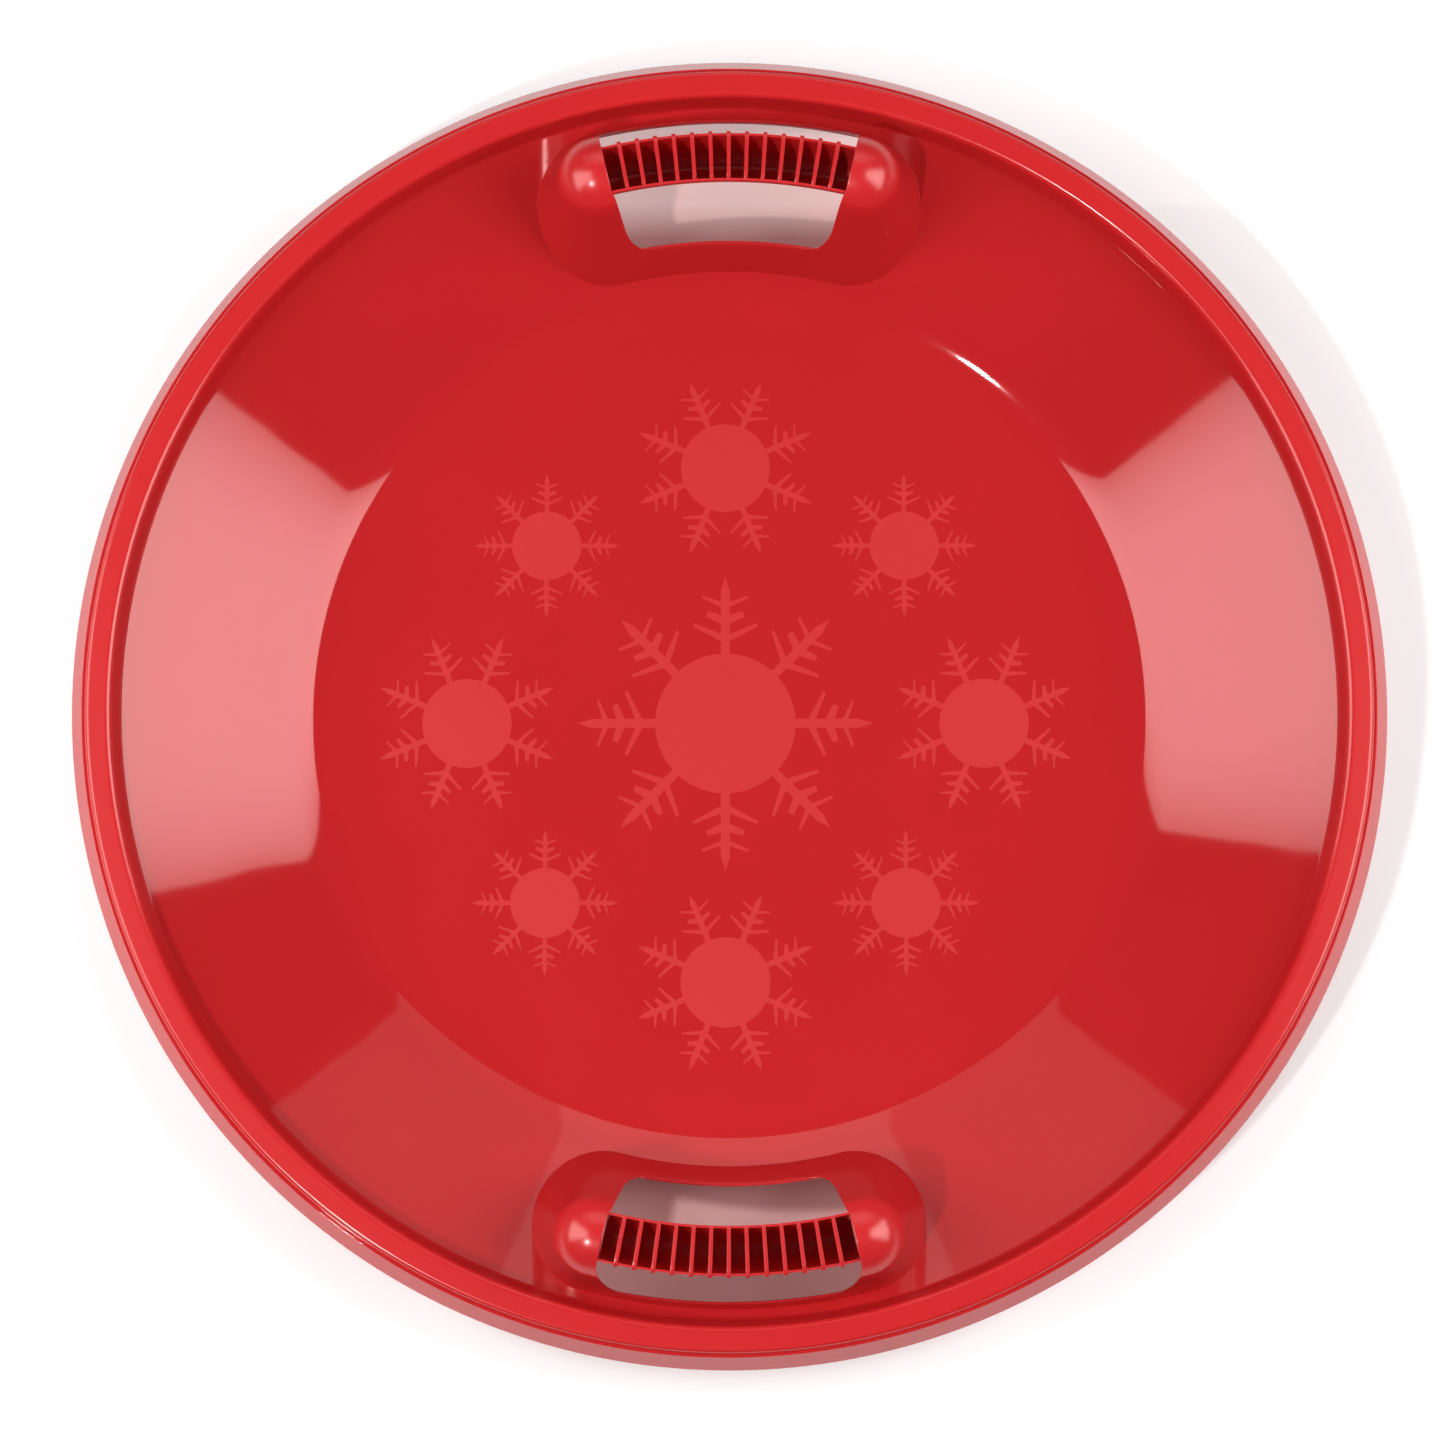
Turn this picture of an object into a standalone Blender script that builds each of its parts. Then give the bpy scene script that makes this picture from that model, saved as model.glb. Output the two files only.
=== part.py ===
"""Round saucer sled: a dished shell with a rolled rim, two raised handles and printed snowflakes.

Metres, +Z up. The origin is at the middle of the underside. The front handle is at -Y
and the rear handle at +Y.
"""

import math

import bmesh
import bpy
from mathutils import Matrix, Vector

# Driving dimensions of the dish, in metres
OUTER_RADIUS = 0.330
WALL = 0.003
DISH_DEPTH = 0.070
WALL_RUN = 0.0896
FLOOR_FILLET = 0.055
DISH_SEGMENTS = 72

# The rolled rim, from the skirt's lower edge inwards
SKIRT_FLARE = 0.0070
SKIRT_DROP = 0.0185
BEAD_LEAN = 0.0037
BEAD_DROP = 0.0040
RIM_TOP_WIDTH = 0.0109
RIM_WALL_LEAN = 0.0032
RIM_WALL_HEIGHT = 0.0150
RIM_EDGE_ROUND = 0.0030

# The raised surround of each handle, a ring sector with round ends
SURROUND_SETBACK = 0.0052
SURROUND_WIDTH = 0.0690
SURROUND_END_MARGIN = 0.0040
SHOULDER_ROUND = 0.0012
INNER_LIP_DROP = 0.0280
OUTER_LIP_DROP = 0.0080

# The hand opening in the surround
OPENING_LENGTH = 0.1206
OPENING_INNER_MARGIN = 0.0095
OPENING_OUTER_MARGIN = 0.0044
OPENING_INNER_CORNER = 0.0150
OPENING_OUTER_CORNER = 0.0030

# The domed posts that carry the grip bar
POST_RISE = 0.0280
POST_CAP_WIDTH = 0.0345
POST_CAP_LENGTH = 0.0215
POST_CAP_CROWN = 0.0070
POST_BASE_WIDTH = 0.0530
POST_OFFSET = 0.0055

# The ribbed grip bar
BAR_WIDTH = 0.0254
BAR_OFFSET = 0.0052
BAR_RISE = 0.0245
BAR_DEPTH = 0.0210
BAR_WALL = 0.0020
RIB_COUNT = 13
RIB_THICKNESS = 0.0020
RIB_CROWN = 0.0015

# How far a surround's flank leans in, as a share of its rise
FLANK_LEAN_SHARE = 0.27

# Points across a rib's crown, in shares of its half width
RIB_CROWN_SHARES = (1, 0.5, 0, -0.5, -1)

# The print on the floor, which keeps a margin from the flat floor's edge
PRINT_THICKNESS = 0.0003
PRINT_MARGIN = 0.0180
PRINT_OFFSET_X = -0.0020
PRINT_OFFSET_Y = -0.0042

# The print's two rings of snowflakes and its three sizes of them, in shares of its radius
LARGE_RING_SHARE = 0.7325
SMALL_RING_SHARE = 0.7195
CENTRE_FLAKE_SHARE = 0.4195
LARGE_FLAKE_SHARE = 0.2670
SMALL_FLAKE_SHARE = 0.2075

# Clearance between pieces that touch, and the overrun of every cut
GAP = 0.0003
OVERRUN = 0.0100

# A snowflake's arm, in shares of the radius of its tips. Each barb has its root along the
# arm, its tip along the arm, its tip to the side, and its width.
ARM_COUNT = 8
DISC_SHARE = 0.475
STEM_SHARE = 0.031
SPEAR_SHARE = 0.900
BARB_SHARES = (
    (0.585, 0.672, 0.217, 0.046),
    (0.709, 0.745, 0.125, 0.056),
    (0.812, 0.862, 0.156, 0.034),
)

# Crown of a post's cap: how much of its half width and of its crown is left at each level
CAP_SHARES = ((0.93, 0.52), (0.76, 0.23), (0.42, 0.05))

# Radii and heights that follow
rim_top = WALL + DISH_DEPTH
bead_foot_radius = OUTER_RADIUS - SKIRT_FLARE
rim_outer_radius = bead_foot_radius - BEAD_LEAN
rim_inner_radius = rim_outer_radius - RIM_TOP_WIDTH
wall_top_radius = rim_inner_radius - RIM_WALL_LEAN
wall_top = rim_top - RIM_WALL_HEIGHT
floor_corner_radius = wall_top_radius - WALL_RUN
wall_slope = (wall_top - WALL) / WALL_RUN
wall_drop = WALL * math.hypot(1, wall_slope)
flat_floor_radius = floor_corner_radius - FLOOR_FILLET * math.tan(math.atan(wall_slope) / 2)
print_radius = flat_floor_radius - PRINT_MARGIN

surround_outer_radius = wall_top_radius - SURROUND_SETBACK
surround_end_radius = SURROUND_WIDTH / 2
surround_middle_radius = surround_outer_radius - surround_end_radius
surround_inner_radius = surround_outer_radius - SURROUND_WIDTH
opening_inner_radius = surround_inner_radius + OPENING_INNER_MARGIN
opening_outer_radius = surround_outer_radius - OPENING_OUTER_MARGIN
opening_half_angle = OPENING_LENGTH / 2 / surround_middle_radius
surround_half_angle = opening_half_angle + SURROUND_END_MARGIN / surround_middle_radius
post_radius = surround_middle_radius + POST_OFFSET
post_top = rim_top + POST_RISE
bar_radius = surround_middle_radius + BAR_OFFSET
bar_half_angle = opening_half_angle - GAP / bar_radius
bar_top = rim_top + BAR_RISE

RED_PLASTIC = (0.610, 0.0212, 0.0242, 1.0)
RED_PLASTIC_ROUGHNESS = 0.18
PRINT_RED = (0.686, 0.0437, 0.0437, 1.0)
PRINT_ROUGHNESS = 0.35


def wall_height(radius):
    """Height of the conical wall's upper face at a radius."""
    return wall_top - (wall_top_radius - radius) * wall_slope


def lip_height(radius):
    """Height of a surround's top, which rises evenly from its inner lip to its outer lip."""
    run = opening_outer_radius - opening_inner_radius
    share = (radius - opening_inner_radius) / run
    return rim_top - INNER_LIP_DROP + share * (INNER_LIP_DROP - OUTER_LIP_DROP)


def clear_scene():
    for obj in list(bpy.data.objects):
        bpy.data.objects.remove(obj, do_unlink=True)


def new_collection(name, hidden=False):
    collection = bpy.data.collections.new(name)
    collection.hide_render = hidden
    bpy.context.scene.collection.children.link(collection)
    return collection


def new_material(name, colour, roughness):
    material = bpy.data.materials.new(name)
    material.use_nodes = True
    shader = material.node_tree.nodes["Principled BSDF"]
    shader.inputs["Base Color"].default_value = colour
    shader.inputs["Roughness"].default_value = roughness
    shader.inputs["Metallic"].default_value = 0.0
    material.diffuse_color = colour
    return material


def add_object(name, data, collection, material=None):
    obj = bpy.data.objects.new(name, data)
    collection.objects.link(obj)
    if material:
        data.materials.clear()
        data.materials.append(material)
    if collection.hide_render:
        obj.hide_render = True
        obj.display_type = "WIRE"
    return obj


def mesh_from(name, bm):
    mesh = bpy.data.meshes.new(name)
    bm.to_mesh(mesh)
    bm.free()
    return mesh


def evaluated_mesh(obj, name):
    """The object's mesh with its modifiers applied, as a new mesh with its doubles welded."""
    bpy.context.view_layer.update()
    graph = bpy.context.evaluated_depsgraph_get()
    bm = bmesh.new()
    bm.from_mesh(obj.evaluated_get(graph).to_mesh())
    bmesh.ops.remove_doubles(bm, verts=bm.verts, dist=GAP / 100)
    return mesh_from(name, bm)


def smooth(mesh, degrees=30):
    mesh.shade_smooth()
    mesh.set_sharp_from_angle(angle=math.radians(degrees))


def add_boolean(obj, other, operation):
    modifier = obj.modifiers.new(operation.lower() + "_" + other.name, "BOOLEAN")
    modifier.operation = operation
    modifier.solver = "EXACT"
    modifier.object = other


def rounded_path(corners, steps):
    """A path through (x, y, radius) corners, with each corner of a radius made an arc."""
    path = []
    last = len(corners) - 1
    for i, (x, y, radius) in enumerate(corners):
        corner = Vector((x, y))
        if radius == 0 or i in (0, last):
            path.append(corner)
            continue
        before = (Vector(corners[i - 1][:2]) - corner).normalized()
        after = (Vector(corners[i + 1][:2]) - corner).normalized()
        half = before.angle(after) / 2
        centre = corner + (before + after).normalized() * radius / math.sin(half)
        start = corner + before * radius / math.tan(half) - centre
        turn = start.angle_signed(corner + after * radius / math.tan(half) - centre)
        for step in range(steps + 1):
            arc = start.copy()
            arc.rotate(Matrix.Rotation(-turn * step / steps, 2))
            path.append(centre + arc)
    return path


def prism(name, outline, low, high, collection):
    """A closed solid over a flat outline, between two heights."""
    bm = bmesh.new()
    face = bm.faces.new([bm.verts.new((x, y, low)) for x, y in outline])
    grown = bmesh.ops.extrude_face_region(bm, geom=[face])
    raised = [item for item in grown["geom"] if isinstance(item, bmesh.types.BMVert)]
    bmesh.ops.translate(bm, verts=raised, vec=(0, 0, high - low))
    bmesh.ops.recalc_face_normals(bm, faces=bm.faces)
    return add_object(name, mesh_from(name, bm), collection)


def loft(name, loops, collection, capped):
    """A closed solid through loops of as many points, its ends capped or drawn to a line."""
    bm = bmesh.new()
    rows = [[bm.verts.new(point) for point in loop] for loop in loops]
    for lower, upper in zip(rows, rows[1:]):
        for i in range(len(lower)):
            j = (i + 1) % len(lower)
            bm.faces.new((lower[i], lower[j], upper[j], upper[i]))
    if capped:
        bm.faces.new(rows[0])
        bm.faces.new(rows[-1])
    bmesh.ops.remove_doubles(bm, verts=bm.verts, dist=GAP / 100)
    bmesh.ops.recalc_face_normals(bm, faces=bm.faces)
    return add_object(name, mesh_from(name, bm), collection)


def dish_profile():
    """The dish's upper face, from the axis out to the skirt's lower edge."""
    corners = (
        (0, WALL, 0),
        (floor_corner_radius, WALL, FLOOR_FILLET),
        (wall_top_radius, wall_top, RIM_EDGE_ROUND),
        (rim_inner_radius, rim_top, RIM_EDGE_ROUND),
        (rim_outer_radius, rim_top, RIM_EDGE_ROUND),
        (bead_foot_radius, rim_top - BEAD_DROP, 0),
        (OUTER_RADIUS, rim_top - SKIRT_DROP, 0),
    )
    return rounded_path(corners, 3)


def make_dish(parts, cutters, material):
    bm = bmesh.new()
    points = [bm.verts.new((x, 0, z)) for x, z in dish_profile()]
    for first, second in zip(points, points[1:]):
        bm.edges.new((first, second))
    dish = add_object("dish_shell", mesh_from("dish_shell", bm), parts, material)
    turn = dish.modifiers.new("turned", "SCREW")
    turn.angle = math.tau
    turn.steps = DISH_SEGMENTS
    turn.render_steps = DISH_SEGMENTS
    turn.use_merge_vertices = True
    turn.merge_threshold = GAP / 10
    shell = dish.modifiers.new("wall", "SOLIDIFY")
    shell.thickness = WALL
    shell.offset = -1
    shell.use_even_offset = True
    for side, angle in (("front", -math.pi / 2), ("rear", math.pi / 2)):
        outline = surround_outline(lambda _: -GAP)
        cutter = prism(side + "_cutout", outline, -OVERRUN, rim_top + OVERRUN, cutters)
        cutter.rotation_euler.z = angle
        add_boolean(dish, cutter, "DIFFERENCE")
    mesh = evaluated_mesh(dish, "dish_shell")
    dish.modifiers.clear()
    dish.data = mesh
    smooth(mesh)
    return dish


def surround_outline(inset, arc_steps=8, end_steps=12):
    """A ring sector with round ends, about +X, drawn in by a rule for each point's radius."""
    outline = []
    for side in (1, -1):
        edge_radius = surround_middle_radius + side * surround_end_radius
        arc_radius = edge_radius - side * inset(edge_radius)
        for step in range(arc_steps):
            angle = side * surround_half_angle * (2 * step / arc_steps - 1)
            outline.append(Vector((math.cos(angle), math.sin(angle))) * arc_radius)
        end_angle = side * surround_half_angle
        outward = Vector((math.cos(end_angle), math.sin(end_angle)))
        centre = outward * surround_middle_radius
        for step in range(end_steps):
            spoke = outward * side
            spoke.rotate(Matrix.Rotation(math.pi * step / end_steps, 2))
            edge_radius = (centre + spoke * surround_end_radius).length
            outline.append(centre + spoke * (surround_end_radius - inset(edge_radius)))
    return outline


def raised(outline, height):
    """The outline's points at the height that a rule gives for their radius."""
    return [Vector((x, y, height(math.hypot(x, y)))) for x, y in outline]


def surround_solid(name, inward, collection):
    """The surround's solid form, or with inward above zero the hollow inside its wall."""
    foot = 0 if inward == 0 else OVERRUN

    def edge(_):
        return inward

    def spine(_):
        return surround_end_radius

    def halfway(_):
        return (inward + surround_end_radius) / 2

    def flank_top(radius):
        rise = lip_height(radius) - SHOULDER_ROUND - wall_height(radius)
        return inward + rise * FLANK_LEAN_SHARE

    def lip(radius):
        return flank_top(radius) + SHOULDER_ROUND

    def under(radius):
        return wall_height(radius) - wall_drop - foot

    def shoulder(radius):
        return lip_height(radius) - SHOULDER_ROUND - inward

    def top(radius):
        return lip_height(radius) - inward

    rows = [
        (spine, under),
        (halfway, under),
        (edge, under),
        (edge, wall_height),
        (flank_top, shoulder),
        (lip, top),
        (halfway, top),
        (spine, top),
    ]
    loops = [raised(surround_outline(inset), height) for inset, height in rows]
    return loft(name, loops, collection, capped=False)


def post_outline(half_width, reach, offset, steps=10):
    """An outline about the end of the opening: straight sides and a round far end.

    It starts inside the opening, which is cut away later. The reach is how far past the
    opening's end it comes, and the offset moves it outwards from the post's radius.
    """
    end = Vector((math.cos(opening_half_angle), math.sin(opening_half_angle)))
    along = Vector((-end.y, end.x))
    middle = end * (post_radius + offset)
    start = middle - along * POST_CAP_LENGTH
    centre = middle + along * (reach - half_width)
    outline = [start - end * half_width, start + end * half_width]
    for step in range(steps + 1):
        turn = math.pi * step / steps
        spoke = end * math.cos(turn) + along * math.sin(turn)
        outline.append(centre + spoke * half_width)
    return outline


def post_solid(name, inward, collection):
    """A post's solid form, or with inward above zero the hollow inside its wall."""
    cap_half = POST_CAP_WIDTH / 2 - inward
    cap_reach = POST_CAP_LENGTH - inward
    base_half = POST_BASE_WIDTH / 2 - inward
    base_reach = SURROUND_END_MARGIN + base_half
    shared_top = post_top - inward

    def sunk(radius):
        return lip_height(radius) - inward - WALL / 2

    loops = [
        raised(post_outline(base_half / 2, base_half / 2, -POST_OFFSET), sunk),
        raised(post_outline(base_half, base_reach, -POST_OFFSET), sunk),
        raised(post_outline(cap_half, cap_reach, 0), lambda _: shared_top - POST_CAP_CROWN),
    ]
    for width_share, fall_share in CAP_SHARES:
        shrink = cap_half * (1 - width_share)
        outline = post_outline(cap_half - shrink, cap_reach - shrink, 0)
        height = shared_top - fall_share * POST_CAP_CROWN
        loops.append([Vector((x, y, height)) for x, y in outline])
    return loft(name, loops, collection, capped=True)


def mirrored(obj, name, collection):
    """A copy of a solid on the other side of the handle's middle."""
    bm = bmesh.new()
    bm.from_mesh(obj.data)
    bmesh.ops.scale(bm, vec=(1, -1, 1), verts=bm.verts)
    bmesh.ops.recalc_face_normals(bm, faces=bm.faces)
    return add_object(name, mesh_from(name, bm), collection)


def opening_cutter(name, outward, collection, arc_steps=8):
    """The hand opening as a cutter, grown outward by a wall where the hollow stops short."""
    low = opening_inner_radius - outward
    high = opening_outer_radius + outward
    half = (opening_half_angle * surround_middle_radius) + outward
    inner_corner = OPENING_INNER_CORNER + outward
    outer_corner = OPENING_OUTER_CORNER + outward
    corners = (
        (low, 0, 0),
        (low, half, inner_corner),
        (high, half, outer_corner),
        (high, 0, 0),
    )
    side = rounded_path(corners, 4)
    inner_arc = [Vector((low, side[1].y * step / arc_steps)) for step in range(arc_steps)]
    outer_arc = [Vector((high, side[-2].y * step / arc_steps)) for step in range(arc_steps)]
    half_loop = inner_arc + side[1:-1] + outer_arc[::-1]
    loop = half_loop + [Vector((p.x, -p.y)) for p in half_loop[::-1] if p.y > 0]
    outline = []
    for radius, arc in loop:
        angle = arc / surround_middle_radius
        outline.append(Vector((math.cos(angle), math.sin(angle))) * radius)
    return prism(name, outline, -OVERRUN, post_top + OVERRUN, collection)


def surround_mesh(cutters):
    """One handle's surround with its posts, hollow from below and open for the hand."""
    forms = {}
    for name, inward in (("surround", 0), ("hollow", WALL)):
        body = surround_solid(name, inward, cutters)
        left = post_solid(name + "_left_post", inward, cutters)
        right = mirrored(left, name + "_right_post", cutters)
        add_boolean(body, left, "UNION")
        add_boolean(body, right, "UNION")
        forms[name] = body
    add_boolean(forms["hollow"], opening_cutter("opening_wall", WALL, cutters), "DIFFERENCE")
    add_boolean(forms["surround"], forms["hollow"], "DIFFERENCE")
    add_boolean(forms["surround"], opening_cutter("opening", 0, cutters), "DIFFERENCE")
    return evaluated_mesh(forms["surround"], "handle_surround")


def bar_profile(inward, arc_steps=8):
    """The bar's half-round section, about the bar's radius and top, drawn in by a wall."""
    half = BAR_WIDTH / 2 - inward
    bend = bar_top - RIB_CROWN - BAR_DEPTH + BAR_WIDTH / 2
    path = []
    for step in range(arc_steps + 1):
        turn = math.pi * step / arc_steps
        path.append(Vector((bar_radius + half * math.cos(turn), bend - half * math.sin(turn))))
    return path


def swept(name, section, angle_from, angle_to, steps, collection):
    """A closed section in radius and height, swept about the axis between two angles."""
    bm = bmesh.new()
    start = Matrix.Rotation(angle_from, 3, "Z")
    face = bm.faces.new([bm.verts.new(start @ Vector((r, 0, z))) for r, z in section])
    bmesh.ops.spin(
        bm,
        geom=[face] + face.edges[:] + face.verts[:],
        cent=(0, 0, 0),
        axis=(0, 0, 1),
        angle=angle_to - angle_from,
        steps=steps,
        use_merge=False,
    )
    ends = [edge for edge in bm.edges if edge.is_boundary]
    bmesh.ops.holes_fill(bm, edges=ends, sides=0)
    bmesh.ops.recalc_face_normals(bm, faces=bm.faces)
    return add_object(name, mesh_from(name, bm), collection)


def bar_mesh(cutters):
    """The grip bar: a half-round trough with crowned ribs across it."""
    trough_top = bar_top - RIB_CROWN
    outer = bar_profile(0)
    inner = bar_profile(BAR_WALL)
    section = [Vector((outer[0].x, trough_top))] + outer + [Vector((outer[-1].x, trough_top))]
    section += [Vector((inner[-1].x, trough_top))] + inner[::-1]
    section += [Vector((inner[0].x, trough_top))]
    cells = RIB_COUNT + 1
    trough = swept("trough", section, -bar_half_angle, bar_half_angle, cells, cutters)

    rib_wall = BAR_WALL / 2
    rib_half = BAR_WIDTH / 2 - rib_wall
    crown = [
        Vector((bar_radius - rib_half * share, bar_top - RIB_CROWN * share * share))
        for share in RIB_CROWN_SHARES
    ]
    rib_section = bar_profile(rib_wall) + crown
    half_rib = RIB_THICKNESS / 2 / bar_radius
    for number in range(RIB_COUNT):
        middle = bar_half_angle * (2 * (number + 1) / cells - 1)
        rib_name = f"rib_{number + 1:02d}"
        rib = swept(rib_name, rib_section, middle - half_rib, middle + half_rib, 1, cutters)
        add_boolean(trough, rib, "UNION")
    return evaluated_mesh(trough, "grip_bar")


def barb_points(tip_radius, shares, side):
    """A barb's three outline points on one side of the arm, from the disc's side outwards."""
    root_share, tip_share, side_share, width_share = shares
    stem = STEM_SHARE * tip_radius
    root = Vector((root_share * tip_radius, stem))
    tip = Vector((tip_share * tip_radius, side_share * tip_radius))
    direction = (tip - root).normalized()
    half_root = width_share * tip_radius / 2 / direction.y
    points = [root - Vector((half_root, 0)), tip, root + Vector((half_root, 0))]
    return [Vector((p.x, p.y * side)) for p in points]


def flake_outline(tip_radius, first_arm):
    """A disc with arms, each a stem with barbs in pairs and a spear's tip."""
    disc = DISC_SHARE * tip_radius
    stem = STEM_SHARE * tip_radius
    spear = SPEAR_SHARE * tip_radius
    stem_angle = math.asin(STEM_SHARE / DISC_SHARE)
    outline = []
    for number in range(ARM_COUNT):
        turn = Matrix.Rotation(first_arm + math.tau * number / ARM_COUNT, 2)
        rising = [Vector((disc * math.cos(stem_angle), -stem))]
        for shares in BARB_SHARES:
            rising += barb_points(tip_radius, shares, -1)
        rising.append(Vector((spear, -stem)))
        falling = [Vector((p.x, -p.y)) for p in reversed(rising)]
        arm = rising + [Vector((tip_radius, 0))] + falling
        between = Matrix.Rotation(math.pi / ARM_COUNT, 2) @ Vector((disc, 0))
        outline += [turn @ point for point in arm + [between]]
    return outline


def make_flake(name, tip_radius, first_arm, place, parts, material):
    curve = bpy.data.curves.new(name, "CURVE")
    curve.dimensions = "2D"
    curve.fill_mode = "BOTH"
    curve.extrude = PRINT_THICKNESS / 2
    outline = flake_outline(tip_radius, first_arm)
    spline = curve.splines.new("POLY")
    spline.points.add(len(outline) - 1)
    for point, (x, y) in zip(spline.points, outline):
        point.co = (x, y, 0, 1)
    spline.use_cyclic_u = True
    flake = add_object(name, curve, parts, material)
    height = WALL + GAP + PRINT_THICKNESS / 2
    flake.location = (place.x + PRINT_OFFSET_X, place.y + PRINT_OFFSET_Y, height)
    return flake


def make_flakes(parts, material):
    """A snowflake in the middle, four large ones round it and four small ones between."""
    step = math.tau / ARM_COUNT
    radius = CENTRE_FLAKE_SHARE * print_radius
    make_flake("centre_snowflake", radius, 0, Vector((0, 0)), parts, material)
    names = (
        "right_snowflake",
        "rear_right_snowflake",
        "rear_snowflake",
        "rear_left_snowflake",
        "left_snowflake",
        "front_left_snowflake",
        "front_snowflake",
        "front_right_snowflake",
    )
    for number, name in enumerate(names):
        large = number % 2 == 0
        ring = print_radius * (LARGE_RING_SHARE if large else SMALL_RING_SHARE)
        radius = print_radius * (LARGE_FLAKE_SHARE if large else SMALL_FLAKE_SHARE)
        first_arm = step / 2 if large else 0
        place = Vector((math.cos(step * number), math.sin(step * number))) * ring
        make_flake(name, radius, first_arm, place, parts, material)


def make_handles(parts, cutters, material):
    """The same surround and bar at the front and at the rear."""
    surround = surround_mesh(cutters)
    bar = bar_mesh(cutters)
    for mesh in (surround, bar):
        smooth(mesh)
    for side, angle in (("front", -math.pi / 2), ("rear", math.pi / 2)):
        housing = add_object(side + "_handle_surround", surround, parts, material)
        grip = add_object(side + "_grip_bar", bar, parts, material)
        housing.rotation_euler.z = angle
        grip.rotation_euler.z = angle


def main():
    clear_scene()
    parts = new_collection("saucer_sled")
    cutters = new_collection("cutters", hidden=True)
    red = new_material("glossy_red_plastic", RED_PLASTIC, RED_PLASTIC_ROUGHNESS)
    ink = new_material("satin_red_print", PRINT_RED, PRINT_ROUGHNESS)
    make_dish(parts, cutters, red)
    make_handles(parts, cutters, red)
    make_flakes(parts, ink)


main()
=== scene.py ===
"""Looks of the round saucer sled: its fine surfaces, glossy red plastic, satin print and studio.

Metres, +Z up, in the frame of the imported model. The front handle is at -Y, the rear one at +Y.
"""

import math

import bmesh
import bpy
import numpy as np
from mathutils import Matrix, Vector


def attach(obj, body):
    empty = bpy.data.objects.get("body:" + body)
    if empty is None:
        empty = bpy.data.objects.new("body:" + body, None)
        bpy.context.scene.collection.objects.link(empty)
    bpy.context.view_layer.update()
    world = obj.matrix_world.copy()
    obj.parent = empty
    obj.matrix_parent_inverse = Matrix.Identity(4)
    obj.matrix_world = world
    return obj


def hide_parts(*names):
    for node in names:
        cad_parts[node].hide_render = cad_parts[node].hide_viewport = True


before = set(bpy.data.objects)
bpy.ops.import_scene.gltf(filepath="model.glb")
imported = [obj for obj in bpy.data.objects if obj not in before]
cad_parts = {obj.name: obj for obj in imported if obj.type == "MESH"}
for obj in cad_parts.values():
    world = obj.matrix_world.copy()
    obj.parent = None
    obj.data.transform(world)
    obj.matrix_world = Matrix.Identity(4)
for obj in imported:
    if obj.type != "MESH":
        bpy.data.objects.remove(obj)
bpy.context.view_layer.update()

# Points nearer than this are made one
MERGE_DISTANCE = 0.000002

# Sizes of the dish, and how finely it is drawn
OUTER_RADIUS = 0.330
WALL = 0.003
DISH_DEPTH = 0.070
WALL_RUN = 0.0896
FLOOR_FILLET = 0.055
DISH_SEGMENTS = 432
UPPER_ARC_STEPS = 10
UNDER_ARC_STEPS = 8
ROW_SPACING = 0.0150
ROW_MARGIN = 0.0006
SHARP_ANGLE = 35

# The rolled rim: the skirt, the bead, the ledge below it, the top and the inner side
SKIRT_FLARE = 0.0070
SKIRT_DROP = 0.0185
BEAD_DROP = 0.0040
BEAD_LEAN = 0.0037
BEAD_SETBACK = 0.0094
BEAD_ROUND = 0.0022
LEDGE_WIDTH = 0.0021
LEDGE_ROUND = 0.0004
RIM_TOP_WIDTH = 0.0115
RIM_WALL_LEAN = 0.0026
RIM_WALL_HEIGHT = 0.0150
RIM_EDGE_ROUND = 0.0030

# The handles' sides and turns about the axis
HANDLE_TURNS = (("front", -math.pi / 2), ("rear", math.pi / 2))

# A handle's surround: its ring sector, its foot in the dish, its flank and its lip
SURROUND_SETBACK = 0.0052
SURROUND_WIDTH = 0.0690
SURROUND_END_MARGIN = 0.0040
HANDLE_WALL = 0.0014
FLANK_OVERLAP = 0.0008
FOOT_REACH = 0.0010
FOOT_SINK = 0.0001
FOOT_ROUND = 0.0012
FLANK_SLOPE = 4.0
POST_SLOPE = 3.5
POST_SLOPE_FROM = 0.0380
POST_SLOPE_TO = 0.0620
LIP_ROUND = 0.0018
INNER_LIP_DROP = 0.0300
OUTER_LIP_DROP = 0.0080
LIP_CLIMB_START = 0.0520
LIP_CLIMB_SLOPE = 8.0
LIP_CLIMB_ROUND = 0.0015
LIP_EDGE_HEIGHT = 0.0008
LEAST_LIP_WIDTH = 0.0002

# The hand opening. In the picture only the front one's outer corners look rounded.
OPENING_LENGTH = 0.1206
OPENING_INNER_MARGIN = 0.0095
OPENING_OUTER_MARGIN = 0.0040
OPENING_INNER_CORNER = 0.0060
OPENING_OUTER_CORNERS = {"front": 0.0125, "rear": 0.0030}
OPENING_STEP = 0.0006
OPENING_STEP_FROM = -0.0002
OPENING_STEP_TO = 0.0006
OPENING_LEAN = 0.2300
EDGE_ROUND = 0.0006
INNER_EDGE_ROUND = 0.0018
INNER_EDGE_REACH = 0.0040

# The domed posts: the bow of a cap is mostly even, and the rest of it is close to its ring
POST_RISE = 0.0280
POST_OFFSET = 0.0055
POST_CAP_WIDTH = 0.0345
POST_CAP_LENGTH = 0.0215
POST_CAP_CROWN = 0.0090
CAP_EVEN_BOW = 0.85
CAP_RING_BOW = 0.15
CAP_RING_ROUND = 0.0016

# How finely a surround is drawn: the plan lines for each stretch of its outline, the stages
# of its round end that lie across from the opening's end, the points on the outer face and
# in the hollow, and the steps that these are chosen from
LINES_PER_STRETCH = (44, 26, 40, 26, 44)
END_STAGES = (1.2, 1.8)
OUTER_POINTS = 64
OUTER_STEPS = 900
HOLLOW_POINTS = 22
HOLLOW_STEPS = 300
BEND_WEIGHT = 1.4

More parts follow.
